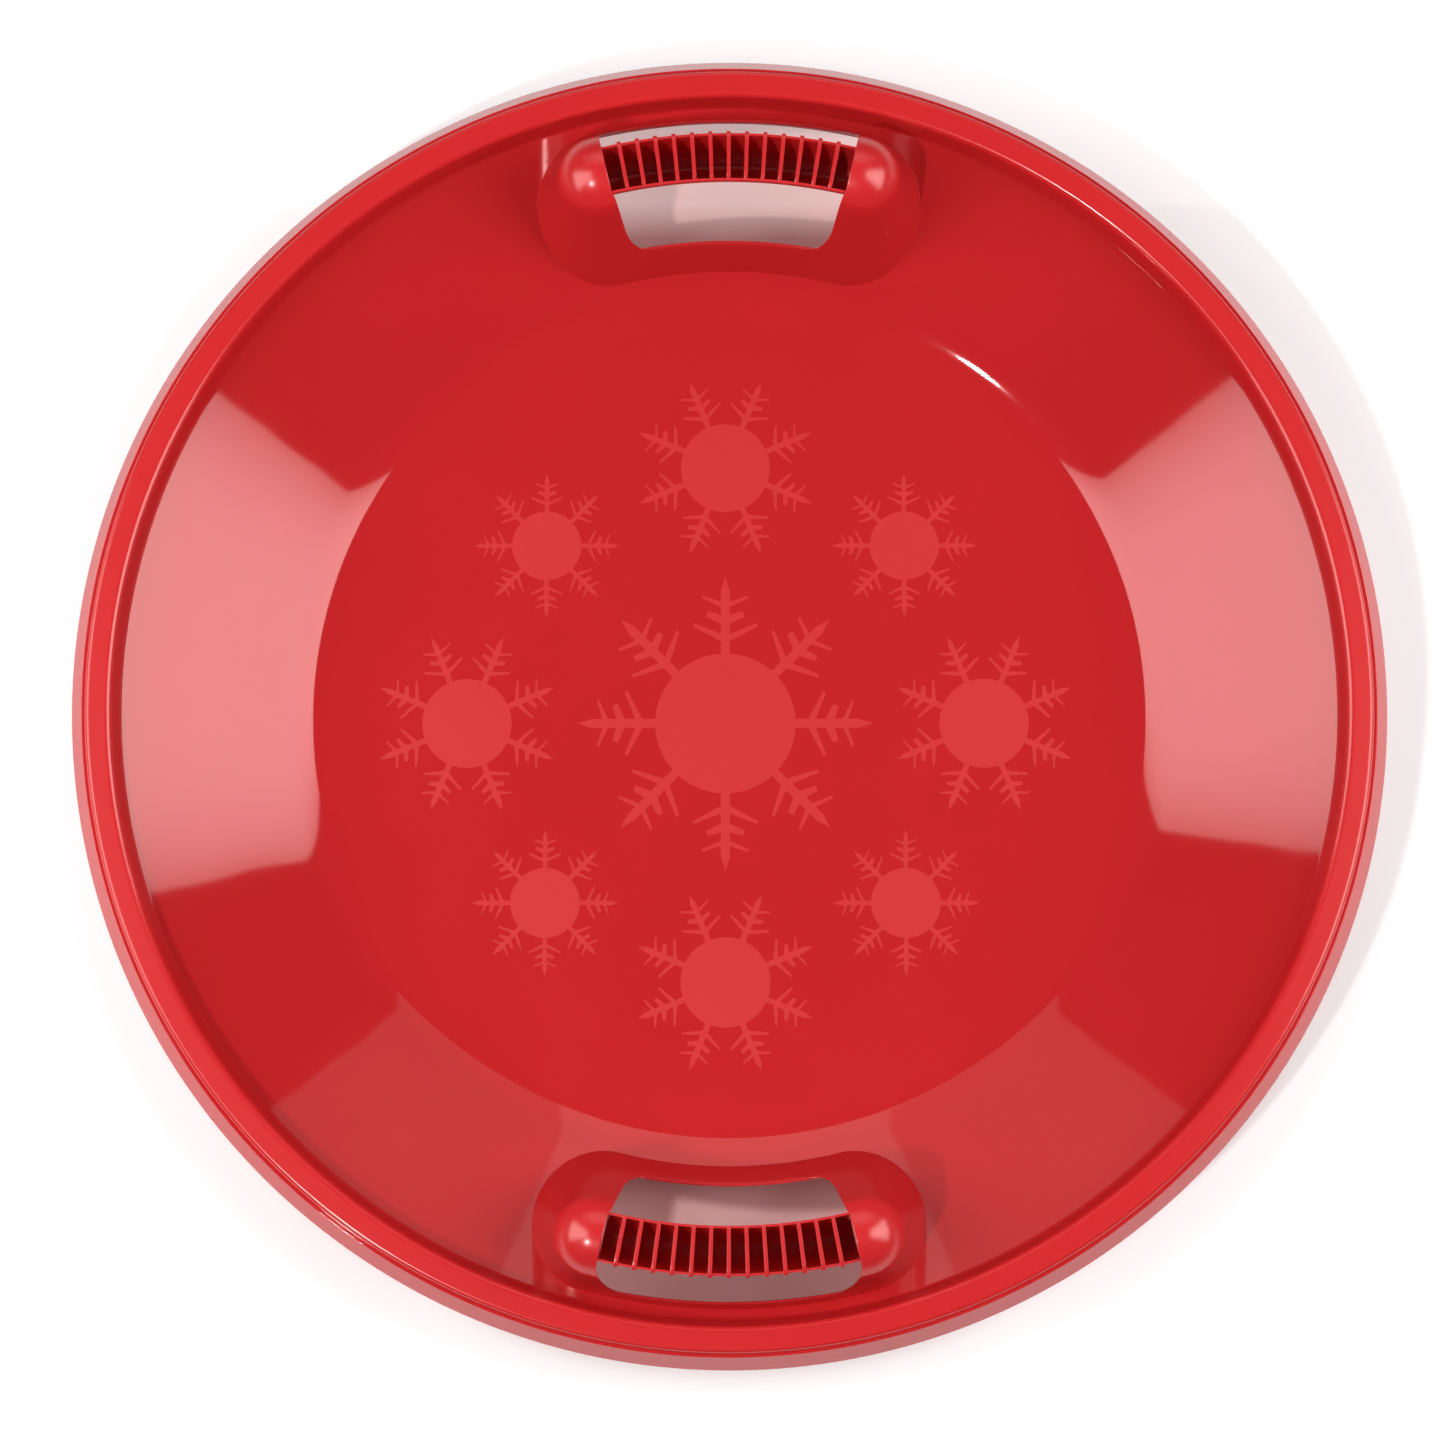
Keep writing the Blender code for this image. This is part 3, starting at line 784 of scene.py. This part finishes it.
def surround_sections(outer_corner):
    """The surround's closed sections along its rays, as rows of (x, y, height) points: over
    the outer face to the opening, back through the hollow, and out by a thin tongue that
    lies in the dish's wall."""
    starts, ends = surround_rays(outer_corner)
    fine = np.linspace(0, 1, OUTER_STEPS)
    wall_thickness = HANDLE_WALL * math.hypot(1, wall_slope)
    sections = []
    for start, end in zip(starts, ends):
        line = np.hypot(*(end - start))
        x = start[0] + (end[0] - start[0]) * fine
        y = start[1] + (end[1] - start[1]) * fine
        radius, arc, inside, foot_height = surround_places(x, y)
        away = opening_distance(radius, arc, outer_corner)
        outer = surround_height(x, y, 0, outer_corner)
        hollow = surround_height(x, y, HANDLE_WALL, outer_corner)
        top = evened(line, outer, OUTER_POINTS)

        wall_side = np.interp(HANDLE_WALL, inside, fine)
        edge_side = 1 - np.interp(HANDLE_WALL, away[::-1], 1 - fine[::-1])
        edge_side = max(edge_side, wall_side + LEAST_LIP_WIDTH / line)
        inner_fine = np.linspace(edge_side, wall_side, HOLLOW_STEPS)
        inner_line = line * abs(wall_side - edge_side)
        inner_heights = np.interp(inner_fine, fine, hollow)
        inner_shares = evened(inner_line, inner_heights, HOLLOW_POINTS)
        inner = edge_side + (wall_side - edge_side) * inner_shares
        inner_z = np.interp(inner, fine, hollow)

        low_edge = min(hollow[-1], outer[-1] - LIP_EDGE_HEIGHT)
        under = foot_height[0] - wall_thickness
        hole_side = np.interp(FLANK_OVERLAP, inside, fine)
        wall_z = wall_height(np.interp(wall_side, fine, radius))
        hole_z = wall_height(np.interp(hole_side, fine, radius))
        shares = [*top, 1, edge_side, *inner, wall_side, hole_side, hole_side, 0]
        heights = [
            *np.interp(top, fine, outer),
            low_edge,
            min(low_edge, inner_z[0]),
            *inner_z,
            wall_z + under - foot_height[0],
            hole_z + under - foot_height[0],
            hole_z - 4 * FOOT_SINK,
            outer[0] - 3 * FOOT_SINK,
        ]
        place = start + np.outer(shares, end - start)
        sections.append(np.column_stack([place, heights]))
    return sections


def surround_mesh(outer_corner):
    """One handle's surround as a closed shell about +X, with its posts and its hollow."""
    sections = surround_sections(outer_corner)
    count = len(sections[0])
    points = [tuple(point) for section in sections for point in section]
    faces = []
    for i in range(len(sections)):
        j = (i + 1) % len(sections)
        for k in range(count):
            m = (k + 1) % count
            faces.append((i * count + k, i * count + m, j * count + m, j * count + k))
    mesh = bpy.data.meshes.new("handle_surround")
    mesh.from_pydata(points, [], faces)
    closed_outwards(mesh)
    mesh.materials.append(handle_red)
    smooth(mesh, SHARP_ANGLE)
    return mesh


def make_surrounds():
    """The two surrounds, each turned to its side of the dish."""
    for side, angle in HANDLE_TURNS:
        mesh = surround_mesh(OPENING_OUTER_CORNERS[side])
        mesh.transform(Matrix.Rotation(angle, 4, "Z"))
        piece = add_object(side + "_surround_surface", mesh)
        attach(piece, "root")
        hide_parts(side + "_handle_surround")


def prism(name, outline, low, high):
    """A closed solid over a flat outline, between two heights."""
    bm = bmesh.new()
    below = [bm.verts.new((x, y, low)) for x, y in outline]
    above = [bm.verts.new((x, y, high)) for x, y in outline]
    for i in range(len(outline)):
        j = (i + 1) % len(outline)
        bm.faces.new((below[i], below[j], above[j], above[i]))
    bm.faces.new(below)
    bm.faces.new(above)
    mesh = bpy.data.meshes.new(name)
    write_closed(bm, mesh)
    return add_object(name, mesh)


def add_boolean(obj, other, operation):
    """Lets one object cut another or join it."""
    modifier = obj.modifiers.new(other.name, "BOOLEAN")
    modifier.operation = operation
    modifier.solver = "EXACT"
    modifier.object = other


def make_dish():
    """The dish, turned from its section and cut out beneath the two surrounds."""
    outline = dish_outline()
    mesh = bpy.data.meshes.new("dish_profile")
    points = [(x - OUTER_RADIUS, -z, 0) for x, z in outline]
    edges = [(i, i + 1) for i in range(len(points) - 1)]
    mesh.from_pydata(points, edges, [])
    values = {"Reach": OUTER_RADIUS, "Segments": DISH_SEGMENTS, "Material": dish_red}
    dish = grown("dish_surface", mesh, turning_tree(), values)
    closed_outwards(dish.data)
    cutters = []
    for side, angle in HANDLE_TURNS:
        cutter = prism(side + "_cutout", surround_outline(FLANK_OVERLAP), -WALL, 2 * rim_top)
        cutter.rotation_euler.z = angle
        add_boolean(dish, cutter, "DIFFERENCE")
        cutters.append(cutter)
    settle(dish)
    for cutter in cutters:
        bpy.data.objects.remove(cutter)
    closed_outwards(dish.data)
    smooth(dish.data, SHARP_ANGLE)
    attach(dish, "root")
    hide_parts("dish_shell")


def polar_tree():
    """Sets copies of a start mesh round the axis at even steps, and welds where they meet."""
    inputs = (
        ("Count", "Int"),
        ("First angle", "Float"),
        ("Step angle", "Float"),
        ("Material", "Material"),
    )
    tree, group_in, group_out = new_tree("set_round_the_axis", inputs)
    points = tree.nodes.new("GeometryNodePoints")
    index = tree.nodes.new("GeometryNodeInputIndex")
    turn = tree.nodes.new("ShaderNodeCombineXYZ")
    copies = tree.nodes.new("GeometryNodeInstanceOnPoints")
    real = tree.nodes.new("GeometryNodeRealizeInstances")
    weld = tree.nodes.new("GeometryNodeMergeByDistance")
    weld.inputs["Distance"].default_value = MERGE_DISTANCE
    wire(group_in, "Count", points, "Count")
    steps = math_node(
        tree, "MULTIPLY", (-400, -200), index.outputs[0], group_in.outputs["Step angle"]
    )
    angle = math_node(tree, "ADD", (-200, -200), steps, group_in.outputs["First angle"])
    tree.links.new(angle, turn.inputs["Z"])
    wire(points, 0, copies, "Points")
    wire(group_in, "Geometry", copies, "Instance")
    wire(turn, 0, copies, "Rotation")
    wire(copies, "Instances", real, "Geometry")
    wire(real, "Geometry", weld, "Geometry")
    finish_tree(tree, weld.outputs["Geometry"], group_in.outputs["Material"], group_out)
    return tree


def extruded(mesh, height):
    """Makes a flat mesh a closed solid of a height."""
    bm = bmesh.new()
    bm.from_mesh(mesh)
    risen = bmesh.ops.extrude_face_region(bm, geom=bm.faces[:], use_keep_orig=True)
    lifted = [item for item in risen["geom"] if isinstance(item, bmesh.types.BMVert)]
    bmesh.ops.translate(bm, verts=lifted, vec=(0, 0, height))
    write_closed(bm, mesh)


def barb_points(tip_radius, shares, side):
    """A blunt barb's four outline points on one side of the arm, from the disc outwards."""
    root_share, tip_share, side_share, root_width, tip_width = shares
    root = Vector((root_share, STEM_SHARE)) * tip_radius
    tip = Vector((tip_share, side_share)) * tip_radius
    along = (tip - root).normalized()
    across = Vector((along.y, -along.x))
    half_root = root_width * tip_radius / 2 / along.y
    half_tip = across * tip_width * tip_radius / 2
    points = [
        root - Vector((half_root, 0)),
        tip - half_tip,
        tip + half_tip,
        root + Vector((half_root, 0)),
    ]
    return [Vector((p.x, p.y * side)) for p in points]


def flake_sector(tip_radius):
    """One arm with its share of the disc, as a flat face from the disc's centre."""
    disc = DISC_SHARE * tip_radius
    stem = STEM_SHARE * tip_radius
    stem_angle = math.asin(STEM_SHARE / DISC_SHARE)
    half_sector = math.pi / ARM_COUNT
    rising = []
    for step in range(SECTOR_ARC_STEPS):
        angle = -half_sector + (half_sector - stem_angle) * step / SECTOR_ARC_STEPS
        rising.append(ray_at(angle) * disc)
    rising.append(Vector((disc * math.cos(stem_angle), -stem)))
    for shares in BARB_SHARES:
        rising += barb_points(tip_radius, shares, -1)
    rising.append(Vector((SPEAR_SHARE * tip_radius, -stem)))
    falling = [Vector((p.x, -p.y)) for p in reversed(rising)]
    outline = [Vector((0, 0))] + rising + [Vector((tip_radius, 0))] + falling
    mesh = bpy.data.meshes.new("flake_sector")
    mesh.from_pydata([(x, y, 0) for x, y in outline], [], [tuple(range(len(outline)))])
    return mesh


def make_flake(node, tip_radius, first_arm, centre, tree):
    """One printed snowflake, grown from its arm, in the place of its CAD node."""
    values = {
        "Count": ARM_COUNT,
        "First angle": first_arm,
        "Step angle": math.tau / ARM_COUNT,
        "Material": ink,
    }
    flake = grown(node + "_print", flake_sector(tip_radius), tree, values)
    extruded(flake.data, PRINT_THICKNESS)
    spot = Vector((centre.x + PRINT_OFFSET[0], centre.y + PRINT_OFFSET[1], WALL + PRINT_LIFT))
    flake.data.transform(Matrix.Translation(spot))
    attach(flake, "root")
    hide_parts(node)


def make_flakes():
    """A snowflake in the middle, four large ones round it and four small ones between."""
    tree = polar_tree()
    step = math.tau / ARM_COUNT
    make_flake("centre_snowflake", CENTRE_FLAKE_SHARE * print_radius, 0, Vector((0, 0)), tree)
    names = (
        "right_snowflake",
        "rear_right_snowflake",
        "rear_snowflake",
        "rear_left_snowflake",
        "left_snowflake",
        "front_left_snowflake",
        "front_snowflake",
        "front_right_snowflake",
    )
    for number, name in enumerate(names):
        large = number % 2 == 0
        ring = print_radius * (LARGE_RING_SHARE if large else SMALL_RING_SHARE)
        radius = print_radius * (LARGE_FLAKE_SHARE if large else SMALL_FLAKE_SHARE)
        centre = ray_at(step * number) * ring
        make_flake(name, radius, step / 2 if large else 0, centre, tree)


def swept(name, section, angle_from, angle_to, steps):
    """A closed section in radius and height, swept about the axis between two angles."""
    bm = bmesh.new()
    rows = []
    for step in range(steps + 1):
        angle = angle_from + (angle_to - angle_from) * step / steps
        ray = ray_at(angle)
        rows.append([bm.verts.new((r * ray.x, r * ray.y, z)) for r, z in section])
    for first, second in zip(rows, rows[1:]):
        for i in range(len(section)):
            j = (i + 1) % len(section)
            bm.faces.new((first[i], first[j], second[j], second[i]))
    bm.faces.new(rows[0])
    bm.faces.new(rows[-1])
    mesh = bpy.data.meshes.new(name)
    write_closed(bm, mesh)
    return mesh


def bar_arc(inward, drop=0, steps=36):
    """The trough's half oval, drawn in by a wall, from its outer to its inner side. A drop
    lets it begin below the trough's outer edge."""
    half, depth = trough_half - inward, trough_top - (bar_top - BAR_DEPTH) - inward
    first = math.asin(drop / depth)
    path = []
    for step in range(steps + 1):
        turn = first + (math.pi - first) * step / steps
        place = (trough_radius + half * math.cos(turn), trough_top - depth * math.sin(turn))
        path.append(Vector(place))
    return path


def rib_section():
    """A rib's closed section: a foot in the trough and a crown that is flat on top."""
    rib_half = BAR_WIDTH / 2 - END_GAP
    crown = []
    for step in range(RIB_CROWN_STEPS + 1):
        share = 2 * step / RIB_CROWN_STEPS - 1
        height = bar_top - RIB_CROWN * share**RIB_CROWN_POWER
        crown.append(Vector((bar_radius + rib_half * share, height)))
    foot = Vector((bar_radius + rib_half, trough_top - RIB_FOOT / 2))
    return bar_arc(BAR_WALL / 2, RIB_FOOT) + crown + [foot]


def bar_mesh():
    """The grip bar: a thin oval trough with crowned ribs that reach past its outer edge."""
    section = bar_arc(0) + bar_arc(BAR_WALL)[::-1]
    trough_mesh = swept("trough", section, -bar_half_angle, bar_half_angle, BAR_STEPS)
    trough = add_object("trough", trough_mesh)
    half_rib = RIB_THICKNESS / 2 / bar_radius
    rib_mesh = swept("rib", rib_section(), -half_rib, half_rib, 1)
    step_angle = 2 * bar_half_angle / (RIB_COUNT + 1)
    values = {
        "Count": RIB_COUNT,
        "First angle": step_angle - bar_half_angle,
        "Step angle": step_angle,
        "Material": handle_red,
    }
    ribs = grown("ribs", rib_mesh, polar_tree(), values)
    add_boolean(trough, ribs, "UNION")
    bevel = trough.modifiers.new("edges", "BEVEL")
    bevel.width = BAR_EDGE_ROUND
    bevel.segments = BAR_EDGE_STEPS
    bevel.limit_method = "ANGLE"
    bevel.angle_limit = math.radians(BAR_EDGE_ANGLE)
    settle(trough)
    mesh = trough.data
    for obj in (trough, ribs):
        bpy.data.objects.remove(obj)
    mesh.materials.clear()
    mesh.materials.append(handle_red)
    closed_outwards(mesh)
    smooth(mesh, BAR_SHARP_ANGLE)
    return mesh


def make_bars():
    """The two grip bars, copies of one mesh turned to their sides."""
    bar = bar_mesh()
    for side, angle in HANDLE_TURNS:
        node = side + "_grip_bar"
        mesh = bar.copy()
        mesh.transform(Matrix.Rotation(angle, 4, "Z"))
        piece = add_object(node + "_surface", mesh)
        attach(piece, "root")
        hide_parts(node)


def pale_floor():
    """White sweep paper that takes the sled's shadow. Beneath the sled its colour is painted
    pink, for the light that the red plastic lets through, and a painted light glows on it, faint
    at the front and stronger beneath the rear handle. The camera sees it overexposed beyond the
    sled, and the gloss mirrors a share of that glow."""
    material, tree, shader = new_material("white_sweep_paper")
    shader.inputs["Roughness"].default_value = PAPER_ROUGHNESS
    shader.inputs["Specular IOR Level"].default_value = 0.0
    place = node_of(tree, "ShaderNodeTexCoord", (-1300, -300))
    reach = vector_node(tree, "LENGTH", (-1100, -300), place.outputs["Object"])
    parts = node_of(tree, "ShaderNodeSeparateXYZ", (-1100, -450))
    wire(place, "Object", parts, "Vector")
    beyond = map_node(tree, (-900, -300), reach.outputs["Value"], TINT_RADII, (0, 1))
    # The pink beneath the sled is painted light, for the light that the red plastic lets through
    tint = colour_node(tree, (-600, 100), beyond, PAINTED_PINK_LIGHT_PAPER, WHITE_PAPER)
    shine = colour_node(tree, (-600, -600), beyond, PAINTED_PINK_LIGHT_GLOW, WHITE_GLOW)
    tree.links.new(tint, shader.inputs["Base Color"])
    tree.links.new(shine, shader.inputs["Emission Color"])

    # Painted light: a faint glow beneath the sled that grows beneath the rear handle
    painted_rear_light = (PAINTED_LIGHT_UNDER_SLED, PAINTED_LIGHT_AT_REAR_HANDLE)
    rear = map_node(tree, (-900, -500), parts.outputs["Y"], PAINTED_REAR_LIGHT_PLACES, painted_rear_light)
    wide = math_node(tree, "MULTIPLY", (-700, -300), beyond, PAPER_GLOW)
    glow = math_node(tree, "MAXIMUM", (-550, -300), wide, rear)
    ray = node_of(tree, "ShaderNodeLightPath", (-1100, -600))
    glossy, passed = ray.outputs["Is Glossy Ray"], ray.outputs["Is Transmission Ray"]
    both = math_node(tree, "ADD", (-1000, -700), glossy, passed)
    mirrored = math_node(tree, "MULTIPLY", (-850, -700), both, MIRRORED_GLOW_SHARE)
    looked_at = math_node(tree, "ADD", (-700, -600), ray.outputs["Is Camera Ray"], mirrored)
    seen = math_node(tree, "MULTIPLY", (-400, -400), glow, looked_at)
    tree.links.new(seen, shader.inputs["Emission Strength"])
    return material


def add_lamp(name, shape, place, aim, width, height, radiance):
    """An area lamp at a place, turned to an aim, of a size and an even radiance."""
    light = bpy.data.lights.new(name, "AREA")
    light.shape = shape
    light.size = width
    light.size_y = height
    area = width * height * (math.pi / 4 if shape == "ELLIPSE" else 1)
    light.energy = radiance * math.pi * area
    lamp = add_object(name, light)
    lamp.location = place
    lamp.rotation_euler = (Vector(place) - Vector(aim)).to_track_quat("Z", "Y").to_euler()
    return light


def fall_at_the_sides(light):
    """Lets a softbox's light fall off towards its two upright sides."""
    light.use_nodes = True
    tree = light.node_tree
    place = tree.nodes.new("ShaderNodeNewGeometry")
    parts = tree.nodes.new("ShaderNodeSeparateXYZ")
    wire(place, "Parametric", parts, "Vector")
    double = math_node(tree, "MULTIPLY", (-800, 0), parts.outputs["X"], 2)
    side = math_node(tree, "SUBTRACT", (-600, 0), double, 1)
    steep = math_node(tree, "POWER", (-400, 0), side, SOFTBOX_EDGE_POWER)
    fall = math_node(tree, "MULTIPLY", (-200, 0), steep, SOFTBOX_EDGE_FALL)
    rest = math_node(tree, "SUBTRACT", (-100, 0), 1, fall)
    tree.links.new(rest, tree.nodes["Emission"].inputs["Strength"])


def make_studio():
    """The floor, tall softboxes to the left and right, weak ones at the rear, a small lamp
    and a faint light from the room."""
    side, low = PAPER_REACH, PAPER_HEIGHT
    corners = [(-side, -side, low), (side, -side, low), (side, side, low), (-side, side, low)]
    floor_mesh = bpy.data.meshes.new("studio_floor")
    floor_mesh.from_pydata(corners, [], [(0, 1, 2, 3)])
    floor_mesh.materials.append(pale_floor())
    floor = add_object("studio_floor", floor_mesh)

    for name, place, aim, width, height, radiance in SIDE_SOFTBOXES:
        fall_at_the_sides(add_lamp(name, "RECTANGLE", place, aim, width, height, radiance))
    for name, place, aim, width, height, radiance in REAR_SOFTBOXES:
        add_lamp(name, "RECTANGLE", place, aim, width, height, radiance)
    add_lamp("key_lamp", "ELLIPSE", KEY_PLACE, (0, 0, 0), KEY_SIZE, KEY_SIZE, KEY_RADIANCE)

    world = bpy.data.worlds.new("studio_room")
    world.use_nodes = True
    background = world.node_tree.nodes["Background"]
    background.inputs["Color"].default_value = (1, 1, 1, 1)
    background.inputs["Strength"].default_value = ROOM_RADIANCE
    bpy.context.scene.world = world


def make_camera():
    """The camera that sees the sled as the picture does."""
    data = bpy.data.cameras.new("camera")
    data.lens = CAMERA_LENS
    data.sensor_width = CAMERA_SENSOR
    camera = add_object("camera", data)
    camera.location = CAMERA_PLACE
    camera.rotation_euler = CAMERA_TURN
    bpy.context.scene.camera = camera


def dress_node(name, material):
    """Gives a CAD node a fine material as well, though a finer piece stands for it."""
    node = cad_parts[name]
    for number in range(len(node.material_slots)):
        node.material_slots[number].material = material


handle_red = red_plastic("moulded_red_of_the_handles", HANDLE_ROUGHNESS, 0.0)
dish_red = red_plastic("glossy_moulded_red_of_the_dish", DISH_ROUGHNESS, RIM_HAZE)
ink = satin_print()
for node_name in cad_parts:
    dress_node(node_name, ink if node_name.endswith("snowflake") else handle_red)

make_dish()
make_surrounds()
make_flakes()
make_bars()

make_studio()
make_camera()
bpy.context.scene.view_settings.view_transform = "Standard"
